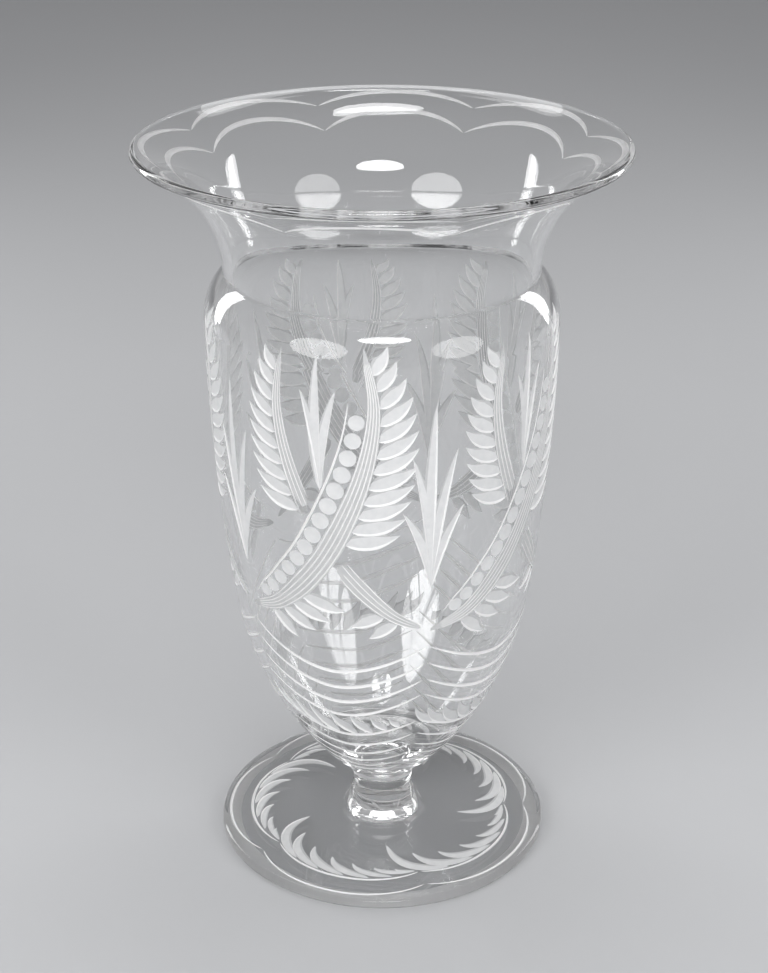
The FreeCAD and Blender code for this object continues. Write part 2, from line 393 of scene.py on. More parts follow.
def sweep(skin, path, section, width, depth, looks):
    """A cutter that follows path, (across, up) points on skin, with a width and depth per point.
    looks gives the finish of the section's sides in turn, the last one for all that remain."""
    path = np.asarray(path, float)
    radius = skin.radius(path[:, 1])
    step = np.gradient(path, axis=0)
    run = np.stack([step[:, 0] * radius, step[:, 1]], 1)
    run /= np.hypot(*run.T)[:, None]
    left = np.stack([-run[:, 1], run[:, 0]], 1)
    a, h = section(np.asarray(width, float), np.asarray(depth, float))
    h[0] += END_LIFT - h[0].min()
    h[-1] += END_LIFT - h[-1].min()
    across = path[:, :1] + a * left[:, :1] / radius[:, None]
    up = path[:, 1:] + a * left[:, 1:]
    points = skin.place(across, up, h)
    stations, sides = a.shape
    faces, finish = [], []
    for i in range(stations - 1):
        for j in range(sides):
            k = (j + 1) % sides
            faces.append((i * sides + j, i * sides + k, (i + 1) * sides + k, (i + 1) * sides + j))
            finish.append(looks[min(j, len(looks) - 1)])
    faces.append(tuple(range(sides - 1, -1, -1)))
    faces.append(tuple((stations - 1) * sides + j for j in range(sides)))
    finish += [looks[-1]] * 2
    trace = skin.place(path[:, 0], path[:, 1], 0.0) / MM
    return Cutter(points.reshape(-1, 3), faces, finish, trace, float(np.abs(a).max()))


def disc(skin, middle, radius, depth, look, around=16):
    """A shallow round dish, drawn with rings at four shares of its radius."""
    rings = np.array([0.5, 0.85, 1.0, 1.12])
    heights = -depth * (1 - rings**2)
    heights[-1] += LIFT
    turn = np.arange(around) * math.tau / around
    local = float(skin.radius(middle[1]))

    def spot(x, y, height):
        return skin.place(middle[0] + x / local, middle[1] + y, height)

    points = [spot(np.zeros(1), np.zeros(1), np.array([-depth]))]
    for ring, height in zip(rings, heights):
        x, y = radius * ring * np.cos(turn), radius * ring * np.sin(turn)
        points.append(spot(x, y, np.full(around, height)))
    points.append(spot(np.zeros(1), np.zeros(1), np.array([LIFT])))
    points = np.concatenate(points)
    faces = []
    last = len(points) - 1
    for k in range(around):
        n = (k + 1) % around
        faces.append((0, 1 + n, 1 + k))
        for ring in range(len(rings) - 1):
            a, b = 1 + ring * around, 1 + (ring + 1) * around
            faces.append((a + k, a + n, b + n, b + k))
        top = 1 + (len(rings) - 1) * around
        faces.append((top + k, top + n, last))
    trace = skin.place(np.array([middle[0]]), np.array([middle[1]]), 0.0) / MM
    return Cutter(points, faces, [look] * len(faces), trace, radius * rings[-1])


def swell(count, power=0.5, least=0.08, skew=1.0):
    """A stroke's swelling, from thin at its start over full in its middle to thin at its end. A
    skew below 1 moves the fullest place towards the start."""
    t = np.linspace(0, 1, count)
    return np.maximum(np.sin(math.pi * t**skew) ** power, least)


def layers_of(cutters):
    """The cutters sorted into layers in which none touches another, because one Boolean takes out
    only solids that don't overlap."""
    layers = []
    for cutter in cutters:
        low = cutter.trace.min(0) - cutter.reach
        high = cutter.trace.max(0) + cutter.reach
        for layer in layers:
            clash = False
            for other, other_low, other_high in layer:
                if (low > other_high).any() or (high < other_low).any():
                    continue
                gap = cutter.trace[:, None] - other.trace[None]
                if math.sqrt((gap**2).sum(-1).min()) < cutter.reach + other.reach + LIFT:
                    clash = True
                    break
            if not clash:
                layer.append((cutter, low, high))
                break
        else:
            layers.append([(cutter, low, high)])
    return [[entry[0] for entry in layer] for layer in layers]


# Turned and carved pieces.
def turned_mesh(name, section, materials, steps=TURN_STEPS):
    """The section turned into one closed mesh, with a finish for each run's faces."""
    rings, looks = [], []
    for run in section:
        points, _ = run_points(run)
        look = CLEAR
        if run.side == 0 and abs(run.start[1] - run.end[1]) < TINY:
            look = JOINT if min(run.start[0], run.end[0]) < TINY else GROUND
        for point in points[1:] if rings else points:
            rings.append(point)
        looks += [look] * (len(points) - 1)
    turn = np.arange(steps) * math.tau / steps
    vertices, starts = [], []
    for r, z in rings:
        starts.append(len(vertices))
        if r < NEAR:
            vertices.append((0.0, 0.0, z))
        else:
            vertices += [(r * math.sin(t), -r * math.cos(t), z) for t in turn]
    faces, finish = [], []
    for i, look in enumerate(looks):
        low, high = starts[i], starts[i + 1]
        for k in range(steps):
            n = (k + 1) % steps
            if rings[i][0] < NEAR:
                face = (low, high + n, high + k)
            elif rings[i + 1][0] < NEAR:
                face = (low + k, low + n, high)
            else:
                face = (low + k, low + n, high + n, high + k)
            faces.append(face)
            finish.append(look)
    points = np.array(vertices) * MM
    return new_mesh(name, points, oriented(points, faces), finish, materials)


def oriented(points, faces):
    """The faces in the order that turns them outward."""
    fans = np.array([(f[0], f[j], f[j + 1]) for f in faces for j in range(1, len(f) - 1)])
    a, b, c = (points[fans[:, k]] - points.mean(0) for k in range(3))
    volume = (a * np.cross(b, c)).sum()
    return [tuple(reversed(face)) for face in faces] if volume < 0 else faces


def new_mesh(name, points, faces, finish, materials):
    """A mesh with its materials, and a finish for each of its faces."""
    mesh = bpy.data.meshes.new(name)
    mesh.from_pydata(points.tolist(), [], faces)
    for material in materials:
        mesh.materials.append(material)
    mesh.polygons.foreach_set("material_index", np.array(finish, np.int32))
    mesh.update()
    return mesh


def placed(name, data):
    """A new object in the scene with this data."""
    item = bpy.data.objects.new(name, data)
    bpy.context.scene.collection.objects.link(item)
    return item


def carve(mesh, cutters):
    """Takes the cutters out of the mesh, a layer at a time, and returns the carved mesh."""
    piece = placed("carving", mesh)
    for layer in layers_of(cutters):
        points, faces, finish = [], [], []
        base = 0
        for cutter in layer:
            points.append(cutter.points)
            outward = oriented(cutter.points, cutter.faces)
            faces += [tuple(base + i for i in face) for face in outward]
            finish += cutter.looks
            base += len(cutter.points)
        points = np.concatenate(points)
        tool_mesh = new_mesh("cutters", points, faces, finish, mesh.materials)
        tool = placed("cutters", tool_mesh)
        cut = piece.modifiers.new("cut", "BOOLEAN")
        cut.operation = "DIFFERENCE"
        cut.solver = "MANIFOLD"
        cut.object = tool
        graph = bpy.context.evaluated_depsgraph_get()
        carved = bpy.data.meshes.new_from_object(piece.evaluated_get(graph))
        piece.modifiers.clear()
        piece.data = carved
        bpy.data.objects.remove(tool)
        bpy.data.meshes.remove(tool_mesh)
    carved = piece.data
    bpy.data.objects.remove(piece)
    return carved


def read(items, name, width=1, kind=np.float32):
    """One value for each of a mesh's items, or one row of width values."""
    values = np.zeros(len(items) * width, kind)
    items.foreach_get(name, values)
    return values.reshape(-1, width) if width > 1 else values


SHARP_CUT = math.radians(38)


def smooth(mesh, section):
    """Smooth shading with the section's own normals on the glass that is left uncut, and crisp
    edges round and inside the cuts."""
    mesh.shade_smooth()
    work = bmesh.new()
    work.from_mesh(mesh)
    bmesh.ops.triangulate(work, faces=[face for face in work.faces if len(face.verts) > 4])
    for edge in work.edges:
        faces = edge.link_faces
        if len(faces) == 2:
            border = faces[0].material_index != faces[1].material_index
            edge.smooth = not (border or edge.calc_face_angle(0.0) > SHARP_CUT)
    work.to_mesh(mesh)
    work.free()
    corner = read(mesh.corner_normals, "vector", 3)
    vertex = read(mesh.loops, "vertex_index", kind=np.int32)
    places = read(mesh.vertices, "co", 3)[vertex] / MM
    total = read(mesh.polygons, "loop_total", kind=np.int32)
    look = read(mesh.polygons, "material_index", kind=np.int32)
    middle = read(mesh.polygons, "center", 3) / MM
    facing = read(mesh.polygons, "normal", 3)
    spots = np.stack([np.hypot(middle[:, 0], middle[:, 1]), middle[:, 2]], 1)
    level = (facing[:, :2] * middle[:, :2]).sum(1) / np.maximum(spots[:, 0], NEAR)
    facing = np.stack([level, facing[:, 2]], 1)
    misfits = []
    for run in section:
        off, normal = run_fit(run, spots)
        misfits.append(off + (1 - (facing * normal).sum(1)) * WALL)
    owner = np.repeat(np.argmin(misfits, axis=0), total)
    clear = np.repeat(~np.isin(look, (SATIN, FAINT, BRIGHT)), total)
    radius = np.maximum(np.hypot(places[:, 0], places[:, 1]), TINY)
    for number, run in enumerate(section):
        mine = clear & (owner == number)
        _, normal = run_fit(run, np.stack([radius[mine], places[mine, 2]], 1))
        corner[mine, 0] = normal[:, 0] * places[mine, 0] / radius[mine]
        corner[mine, 1] = normal[:, 0] * places[mine, 1] / radius[mine]
        corner[mine, 2] = normal[:, 1]
    corner /= np.maximum(np.linalg.norm(corner, axis=1), TINY)[:, None]
    mesh.normals_split_custom_set(corner.tolist())


def glass_piece(name, section, node, materials, cutters=()):
    """One glass piece in the place of its CAD node."""
    mesh = turned_mesh(name, section, materials)
    if cutters:
        mesh = carve(mesh, cutters)
        mesh.name = name
    smooth(mesh, section)
    piece = placed(name, mesh)
    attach(piece, "root")
    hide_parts(node)


# Ornament. Across is measured in millimetres at the body's widest, so that a repeat is one fifth
# of the way round, and is turned into an angle when the stroke is wrapped on the glass.
REPEATS = 5
REPEAT = math.tau / REPEATS
REPEAT_WIDTH = REPEAT * BODY_RADIUS
FIRST_CUSP = math.radians(16.8)


def curve(points, count, steps=24):
    """A smooth line through the points, at count places evenly far apart. It is worked out at this
    many steps between one point and the next."""
    points = np.asarray(points, float)
    padded = np.concatenate([[2 * points[0] - points[1]], points, [2 * points[-1] - points[-2]]])
    t = np.linspace(0, 1, steps, endpoint=False)[:, None]
    line = []
    for i in range(len(points) - 1):
        a, b, c, d = padded[i : i + 4]
        square, cube = 2 * a - 5 * b + 4 * c - d, 3 * b - a - 3 * c + d
        line.append(0.5 * (2 * b + (c - a) * t + square * t**2 + cube * t**3))
    line = np.concatenate([*line, points[-1:]])
    run = np.concatenate([[0], np.cumsum(np.hypot(*np.diff(line, axis=0).T))])
    at = np.linspace(0, run[-1], count)
    return np.stack([np.interp(at, run, line[:, k]) for k in range(2)], 1)


def bent(t, start, bend, end):
    """The places at shares t of a curve from start to end that is drawn towards bend."""
    return (1 - t) ** 2 * start + 2 * t * (1 - t) * bend + t**2 * end


def arch(share, power):
    """A rise from 0 at both ends to 1 in the middle, the squarer the higher its power."""
    return 1 - np.abs(2 * share - 1) ** power


def pointed(t, base, rise, fall, least=0.06):
    """A tooth's fullness along it: base at its root, 1 in its middle and a point at its tip."""
    return np.clip(np.minimum(base + t * rise, (1 - t) * fall), least, 1)


def lefts(path):
    """The direction to the left of a path at each of its points."""
    step = np.gradient(path, axis=0)
    step = step / np.hypot(*step.T)[:, None]
    return np.stack([-step[:, 1], step[:, 0]], 1)


def beside(path, distance):
    """The path moved to its left by a distance, one for all its points or one each."""
    return path + lefts(path) * np.reshape(distance, (-1, 1))


def inside(points, outline):
    """Which points lie inside a closed outline."""
    x, y = points[:, 0][:, None], points[:, 1][:, None]
    x0, y0 = outline[:, 0][None], outline[:, 1][None]
    x1, y1 = np.roll(x0, -1, 1), np.roll(y0, -1, 1)
    crosses = (y0 > y) != (y1 > y)
    rise = np.where(y1 == y0, 1.0, y1 - y0)
    left = x < (x1 - x0) * (y - y0) / rise + x0
    return (crosses & left).sum(1) % 2 == 1


class Mark(NamedTuple):
    """A stroke in the flat drawing: its path, its section, and its width and depth at each point.
    A disc has one point, its radius as its width, and DISC_DEPTH."""

    section: object
    path: np.ndarray
    width: np.ndarray
    depth: np.ndarray
    looks: tuple


LINE_WIDTH = 0.6
LINE_DEPTH = 0.28
BAND_DEPTH = 0.10
LEAF_DEPTH = 0.42
DISC_DEPTH = 0.22


def line_mark(path, width=LINE_WIDTH, depth=LINE_DEPTH, power=0.35, section=fine_section):
    """A bright line that thins out at both ends."""
    full = swell(len(path), power)
    return Mark(section, path, width / 2 * full, depth * full, (BRIGHT,))


def blade_mark(path, width, full):
    """A bevel that is as wide and deep as its fullness says at each point."""
    return Mark(bevel_section, path, width * full, LEAF_DEPTH * full**0.5, BEVEL_LOOKS)


def clipped(marks, outlines, shortest=2.5, fewest=5, most=24):
    """The marks without what lies inside the outlines, each left-over part a stroke of its own. A
    part has from fewest to most places, and one under the shortest length is left out."""
    kept = []
    for mark in marks:
        covered = np.zeros(len(mark.path), bool)
        for outline in outlines:
            covered |= inside(mark.path, outline)
        if not covered.any():
            kept.append(mark)
            continue
        shown = np.flatnonzero(~covered)
        for part in np.split(shown, np.flatnonzero(np.diff(shown) > 1) + 1):
            path = mark.path[part]
            if len(part) < 3 or np.hypot(*np.diff(path, axis=0).T).sum() < shortest:
                continue
            count = max(fewest, min(len(part), most))
            at = np.linspace(0, len(part) - 1, count)
            index = np.arange(len(part))
            path = np.stack([np.interp(at, index, path[:, k]) for k in range(2)], 1)
            fade = swell(count, power=0.3, least=0.12)
            width = np.interp(at, index, mark.width[part]) * fade
            depth = np.interp(at, index, mark.depth[part]) * fade
            kept.append(mark._replace(path=path, width=width, depth=depth))
    return kept


def wrapped(marks, skin, turn):
    """Cutters for the marks, wrapped on skin and turned round the vase."""
    made = []
    for mark in marks:
        path = mark.path.copy()
        path[:, 0] = path[:, 0] / BODY_RADIUS + turn
        if len(path) == 1:
            made.append(disc(skin, path[0], float(mark.width[0]), DISC_DEPTH, mark.looks[0]))
        else:
            made.append(sweep(skin, path, mark.section, mark.width, mark.depth, mark.looks))
    return made


# Rim: two rows of eight scallops on the under side of the flare, each an arc between two cusps. A
# row is given by the radius of its cusps and its crests, and by its width.
SCALLOPS = 8
SCALLOP_TURN = math.radians(18.5)
SCALLOP_ROWS = ((70.8, 76.3, 2.1), (62.8, 68.6, 2.0))
SCALLOP_DEPTH = 0.5


def scallop(cusp_radius, crest_radius, count=25):
    """One scallop as angle and radius, on the circle through its two cusps and its crest."""
    half = math.pi / SCALLOPS
    chord = cusp_radius * math.sin(half)
    rise = crest_radius - cusp_radius * math.cos(half)
    radius = (chord**2 + rise**2) / (2 * rise)
    middle = crest_radius - radius
    reach = math.atan2(chord, cusp_radius * math.cos(half) - middle)
    angles = np.linspace(-reach, reach, count)
    x, y = radius * np.sin(angles), middle + radius * np.cos(angles)
    return np.arctan2(x, y), np.hypot(x, y)


rim_cutters = []
for cusp_radius, crest_radius, width in SCALLOP_ROWS:
    angles, radii = scallop(cusp_radius, crest_radius)
    up = flare_skin.up_at_radius(radii)
    for k in range(SCALLOPS):
        middle = SCALLOP_TURN + (k + 0.5) * math.tau / SCALLOPS
        path = np.stack([middle + angles, up], 1)
        full = swell(len(path), power=0.6, least=0.22)
        half, depth = width / 2 * full, SCALLOP_DEPTH * full
        rim_cutters.append(sweep(flare_skin, path, round_section, half, depth, (BRIGHT,)))

# Foot: a line of five shallow lobes near the edge, and inside it a wreath of five sprays whose
# teeth grow along each spray and curl in towards the stem. A line is given by the radius of its
# cusps and its crests, and by its width.
LOBE_LINE = (51.0, 55.2, 0.95)
SPRAY_LINE = (44.2, 47.4, 1.0)
LOBE_POWER = 2.6
FOOT_LINE_DEPTH = 0.3
FOOT_LINE_STATIONS = 33

# A tooth is given by the degrees from the cusp to its tip, the tip's radius and its width. The
# rest is its length in degrees and how that grows, and how its root and its bend are placed.
FOOT_TEETH = (
    (11, 41.2, 1.5),
    (21, 40.3, 1.9),
    (32, 39.2, 2.3),
    (44, 37.9, 2.7),
    (57, 36.2, 3.0),
    (71, 33.2, 3.2),
    (86, 27.2, 3.3),
)
TOOTH_LENGTH = 15
TOOTH_GAIN = 0.16
TOOTH_DEPTH = 0.34
TOOTH_STATIONS = 16
ROOT_RANGE = (0.02, 0.98)
ROOT_INSET = 0.9
BEND_INSET = 1.6
BEND_LEAD = 0.12
BEND_LAG = math.radians(1.5)


def lobe(low, high, share):
    """A lobe's radius along its share of a repeat, from cusp to cusp."""
    return low + (high - low) * arch(share, LOBE_POWER)


foot_cutters = []
for k in range(REPEATS):
    start = FIRST_CUSP + k * REPEAT
    share = np.linspace(0.0, 1.0, FOOT_LINE_STATIONS)
    for low, high, width in (LOBE_LINE, SPRAY_LINE):
        up = foot_skin.up_at_radius(lobe(low, high, share))
        full = swell(len(share), power=0.35, least=0.25)
        path = np.stack([start - share * REPEAT, up], 1)
        half, depth = width / 2 * full, FOOT_LINE_DEPTH * full
        foot_cutters.append(sweep(foot_skin, path, round_section, half, depth, (BRIGHT,)))
    for turn, tip, width in FOOT_TEETH:
        tip_angle = start - math.radians(turn)
        reach = math.radians(TOOTH_LENGTH + turn * TOOTH_GAIN)
        root_share = np.clip((math.radians(turn) - reach) / REPEAT, *ROOT_RANGE)
        root_radius = lobe(*SPRAY_LINE[:2], root_share) - ROOT_INSET
        bend_radius = lobe(*SPRAY_LINE[:2], min(root_share + BEND_LEAD, 1.0)) - BEND_INSET
        t = np.linspace(0, 1, TOOTH_STATIONS)
        angle = bent(t, start - root_share * REPEAT, tip_angle + BEND_LAG, tip_angle)
        up = foot_skin.up_at_radius(bent(t, root_radius, bend_radius, tip))
        full = swell(TOOTH_STATIONS, power=0.7, least=0.07, skew=0.8)
        path, across, depth = np.stack([angle, up], 1), -width * full, TOOTH_DEPTH * full
        foot_cutters.append(sweep(foot_skin, path, bevel_section, across, depth, BEVEL_LOOKS))


# Body: interlaced fern fronds. Each is a matted band with fine lines along it, touching leaflets
# on its outer side, and a row of berries inside an edging line.
class Frond(NamedTuple):
    spine: list
    side: int
    half_width: float
    lines: int
    leaflets: int
    leaf_length: float
    leaf_width: float
    berries: int = 0
    berry_radius: float = 0.0


FROND_STATIONS = 46
PLACES_PER_STATION = 12
OVER_FROND = Frond(
    [(0, 92), (17, 99), (35, 118), (48, 145), (53, 170), (50, 191)],
    side=-1,
    half_width=3.9,
    lines=5,
    leaflets=20,
    leaf_length=19.0,
    leaf_width=5.4,
    berries=14,
    berry_radius=3.0,
)
UNDER_FROND = Frond(
    [(0, 92), (-16, 101), (-34, 121), (-46, 146), (-51, 168), (-49, 189)],
    side=1,
    half_width=3.3,
    lines=4,
    leaflets=20,
    leaf_length=16.5,
    leaf_width=5.0,
)
# Where the leaflets and the berries stand along a frond, as shares of its length.
LEAF_RANGE = (0.10, 0.93)
BERRY_RANGE = (0.10, 0.80)

# Leaflets: their lean in degrees and its loss by the tip, where on the half band they start,
# where they bend, and how their size and width follow the frond.
LEAF_LEAN = 60
LEAF_LEAN_LOSS = 24
LEAF_ROOT = 0.9
LEAF_BEND = (0.55, 0.12)
LEAF_STATIONS = 10
LEAF_PHASE = (0.16, 0.74)
LEAF_PHASE_POWER = 0.8
LEAF_WIDTHS = (0.5, 0.5)

# Berries, the edging line beside them and the lines along the band.
BERRY_SIZES = (0.7, 0.3)
BERRY_GAP = 0.3
BAND_BORDER = 0.6
EDGING_WIDTH = 0.9
EDGING_RAMP = 0.1
EDGING_STATIONS = slice(2, -6)
LINE_SPREAD = 1.7


def fullness(share, rise=0.25, fall=0.55, power=0.6, least=0.04):
    """A frond's fullness along it: narrow at its foot, full a quarter of the way up, a point at
    its tip."""
    full = np.clip(np.minimum(share / rise, (1 - share) / fall), 0, 1)
    return full**power * (1 - least) + least


def leaflet(root_point, out, along, reach, width, lean):
    """One leaflet: a bevel with its keel below, from its root on the band to its tip."""
    tip = root_point + reach * (out * math.sin(lean) + along * math.cos(lean))
    bend = root_point + reach * (out * LEAF_BEND[0] + along * LEAF_BEND[1])
    t = np.linspace(0, 1, LEAF_STATIONS)
    path = bent(t[:, None], root_point, bend, tip)
    return blade_mark(path, width, pointed(t, base=0.6, rise=1.5, fall=2.4))


def frond_marks(frond):
    """A frond's band, berries and lines, its leaflets, and the outline of all but these."""
    places = PLACES_PER_STATION * (FROND_STATIONS - 1) + 1
    fine = curve(frond.spine, places)
    share = np.linspace(0, 1, places)
    half = frond.half_width * fullness(share)
    left = lefts(fine)
    along = np.stack([left[:, 1], -left[:, 0]], 1)
    out = left * frond.side

    def place(start, end, number, count):
        return int(round((start + (end - start) * number / (count - 1)) * (places - 1)))

    leaflets = []
    for k in range(frond.leaflets):
        i = place(*LEAF_RANGE, k, frond.leaflets)
        size = math.sin(math.pi * (LEAF_PHASE[0] + LEAF_PHASE[1] * share[i])) ** LEAF_PHASE_POWER
        leaflets.append(
            leaflet(
                fine[i] + out[i] * half[i] * LEAF_ROOT,
                out[i],
                along[i],
                frond.leaf_length * size,
                -frond.side * (frond.leaf_width * (LEAF_WIDTHS[0] + LEAF_WIDTHS[1] * size)),
                math.radians(LEAF_LEAN - LEAF_LEAN_LOSS * share[i]),
            )
        )
    berries = []
    inner = half + BAND_BORDER
    if frond.berries:
        size = frond.berry_radius * (BERRY_SIZES[0] + BERRY_SIZES[1] * np.sin(math.pi * share))
        for k in range(frond.berries):
            i = place(*BERRY_RANGE, k, frond.berries)
            spot = fine[i] - out[i] * (half[i] + size[i] + BERRY_GAP)
            berries.append(Mark("disc", spot[None], size[i : i + 1], None, (SATIN,)))
        room = np.clip(np.minimum(share, 1 - share) / EDGING_RAMP, 0, 1)
        inner = half + 2 * (size + BERRY_GAP) * room
    stations = slice(None, None, PLACES_PER_STATION)
    spine, half, inner = fine[stations], half[stations], inner[stations]
    marks = [Mark(flat_section, spine, half, np.full(len(spine), BAND_DEPTH), (FAINT,)), *berries]
    if frond.berries:
        inner = inner + EDGING_WIDTH / 2
        edging = beside(spine, -frond.side * inner)[EDGING_STATIONS]
        marks.append(line_mark(edging, EDGING_WIDTH))
        inner = inner + EDGING_WIDTH
    for j in range(frond.lines):
        offset = (j / (frond.lines - 1) - 0.5) * LINE_SPREAD
        marks.append(line_mark(beside(spine, half * offset)[1:-1], LINE_WIDTH, power=0.2))
    outer = beside(spine, frond.side * (half + BAND_BORDER))
    outline = np.concatenate([outer, beside(spine, -frond.side * inner)[::-1]])
    return marks, leaflets, outline


def all_round(outlines):
    """The outlines with those of the two repeats on either side."""
    return [outline + (k * REPEAT_WIDTH, 0.0) for outline in outlines for k in (-2, -1, 0, 1, 2)]


def leaf_outline(mark):
    """A leaflet's outline, from its keel to the far side of its bevel."""
    return np.concatenate([mark.path, beside(mark.path, mark.width)[::-1]])


def standing_clear(marks, outlines):
    """The marks that neither reach into the outlines nor hold a part of one."""
    kept = []
    for mark in marks:
        own = leaf_outline(mark)
        if not any(inside(own, other).any() or inside(other, own).any() for other in outlines):
            kept.append(mark)
    return kept


over_marks, over_leaves, over_outline = frond_marks(OVER_FROND)
under_marks, under_leaves, under_outline = frond_marks(UNDER_FROND)
over_leaves = standing_clear(over_leaves, all_round([under_outline]))
over_shapes = [over_outline] + [leaf_outline(leaf) for leaf in over_leaves]
under_leaves = standing_clear(under_leaves, all_round(over_shapes))
under_marks = clipped(under_marks, all_round([over_outline]))
body_marks = over_leaves + under_leaves + over_marks + under_marks

# Tufts of tall blades: which way each leans, how far its tip is across and up, and its width.
TALL_TUFT = (
    (0, 0.0, 66.0, 3.8),
    (-1, -7.5, 48.0, 3.6),
    (1, 7.5, 50.0, 3.6),
    (-1, -10.5, 29.0, 3.4),
    (1, 10.5, 30.0, 3.4),
)
SHORT_TUFT = ((0, 0.0, 46.0, 3.4), (-1, -6.0, 34.0, 3.2), (1, 6.0, 35.0, 3.2))
TALL_FOOT = (0.0, 108.0)
SHORT_FOOT = (35.6, 143.0)

# Where a blade bends, as shares of its tip's place across and up.
BLADE_BEND = (0.35, 0.55)
BLADE_STATIONS = 16


def tuft(foot, blades):
    """Blades that spread from one foot."""
    marks, foot = [], np.array(foot)
    for lean, across, rise, width in blades:
        bend = foot + (across * BLADE_BEND[0], rise * BLADE_BEND[1])
        path = bent(np.linspace(0, 1, BLADE_STATIONS)[:, None], foot, bend, foot + (across, rise))
        full = swell(BLADE_STATIONS, power=0.8, least=0.06, skew=0.8)
        marks.append(blade_mark(path, -width if lean < 0 else width, full))
    return marks


body_marks += tuft(TALL_FOOT, TALL_TUFT) + tuft(SHORT_FOOT, SHORT_TUFT)

# Lower down: two groups of nested swags with their cusps under the fronds' feet, and a leaf spray
# on the lower group's top line. A swag is given by its cusps' place, sag and width.
UPPER_SWAGS = ((86.0, 11.0, 1.5), (79.0, 11.0, 1.6), (72.0, 11.0, 1.7), (65.0, 11.0, 1.6))
LOWER_SWAGS = (
    (51.0, 8.5, 1.7),
    (43.5, 8.0, 1.6),
    (36.5, 7.5, 1.5),
    (30.0, 7.0, 1.4),
    (24.0, 6.0, 1.2),
    (18.5, 4.5, 1.0),
)
SWAG_DEPTH = 0.42
SWAG_POWER = 1.7
SWAG_STATIONS = 27


def swag_up(cusp, sag, share):
    """How far up a swag runs at its share of a repeat."""
    return cusp - sag * arch(share, SWAG_POWER)


for cusp, sag, width in UPPER_SWAGS + LOWER_SWAGS:
    share = np.linspace(0, 1, SWAG_STATIONS)
    path = np.stack([share * REPEAT_WIDTH, swag_up(cusp, sag, share)], 1)
    body_marks.append(line_mark(path, width, SWAG_DEPTH, 0.5, round_section))

# The spray's teeth: how far across each starts, its length and its width. The rest says how far
# above the line they start, and where their tips and bends lie as shares of their length.
SPRAY_TEETH = (
    (8, 17.0, 3.8),
    (16, 20.5, 4.6),
    (25, 22.5, 5.2),
    (34, 22.5, 5.4),
    (43, 20.5, 5.2),
    (51, 17.0, 4.6),
    (58, 13.0, 3.8),
    (64, 9.0, 3.0),
)
SPRAY_LIFT = 0.3
SPRAY_TIP = np.array([-0.62, 0.62])
SPRAY_BEND = np.array([-0.55, 0.1])
SPRAY_STATIONS = 14
for across, reach, width in SPRAY_TEETH:
    up = swag_up(*LOWER_SWAGS[0][:2], across / REPEAT_WIDTH) + SPRAY_LIFT
    start = np.array([across, up])
    t = np.linspace(0, 1, SPRAY_STATIONS)
    path = bent(t[:, None], start, start + reach * SPRAY_BEND, start + reach * SPRAY_TIP)
    body_marks.append(blade_mark(path, -width, pointed(t, base=0.35, rise=1.8, fall=1.9)))

body_cutters = []
for k in range(REPEATS):
    body_cutters += wrapped(body_marks, body_skin, FIRST_CUSP + k * REPEAT)


# Glass and its cuts.
def new_material(name):
    """A material, its nodes and links, and its shader."""
    material = bpy.data.materials.new(name)
    material.use_nodes = True
    nodes = material.node_tree.nodes
    return material, nodes, material.node_tree.links, nodes["Principled BSDF"]


GLASS_IOR = 1.52


def settle(node, **values):
    """Sets the node's own sockets. An underscore in a name stands for a blank."""
    for name, value in values.items():
        node.inputs[name.replace("_", " ")].default_value = value


def noise(nodes, links, scale, detail, stretch=(1.0, 1.0, 1.0)):
    place = nodes.new("ShaderNodeTexCoord")
    mapping = nodes.new("ShaderNodeMapping")
    mapping.inputs["Scale"].default_value = stretch
    texture = nodes.new("ShaderNodeTexNoise")
    settle(texture, Scale=scale, Detail=detail)
    links.new(place.outputs["Object"], mapping.inputs["Vector"])
    links.new(mapping.outputs["Vector"], texture.inputs["Vector"])
    return texture.outputs["Fac"]


def ramp(nodes, links, source, low, high, start=0.0, end=1.0):
    """source from start to end turned into low to high."""
    node = nodes.new("ShaderNodeMapRange")
    settle(node, From_Min=start, From_Max=end, To_Min=low, To_Max=high)
    links.new(source, node.inputs["Value"])
    return node.outputs["Result"]


def tint(nodes, links, source, dark, light):
    node = nodes.new("ShaderNodeMix")
    node.data_type = "RGBA"
    settle(node, A=(*dark, 1.0), B=(*light, 1.0))
    links.new(source, node.inputs["Factor"])
    return node.outputs["Result"]


def bump(nodes, links, source, distance, strength):
    node = nodes.new("ShaderNodeBump")
    settle(node, Distance=distance, Strength=strength)
    links.new(source, node.inputs["Height"])
    return node.outputs["Normal"]


def clear_glass():
    material, nodes, links, shader = new_material("clear_glass")
    settle(shader, IOR=GLASS_IOR, Transmission_Weight=1.0)
    film = noise(nodes, links, scale=60.0, detail=4.0)
    rough = ramp(nodes, links, film, low=0.0, high=0.02, start=0.35, end=0.75)
    links.new(rough, shader.inputs["Roughness"])
    colour = tint(nodes, links, film, dark=(0.992, 0.996, 0.996), light=(1.0, 1.0, 1.0))
    links.new(colour, shader.inputs["Base Color"])
    waves = noise(nodes, links, scale=26.0, detail=1.0, stretch=(1.0, 1.0, 0.7))
    wavy = bump(nodes, links, waves, distance=0.0003, strength=0.35)
    links.new(wavy, shader.inputs["Normal"])
    return material


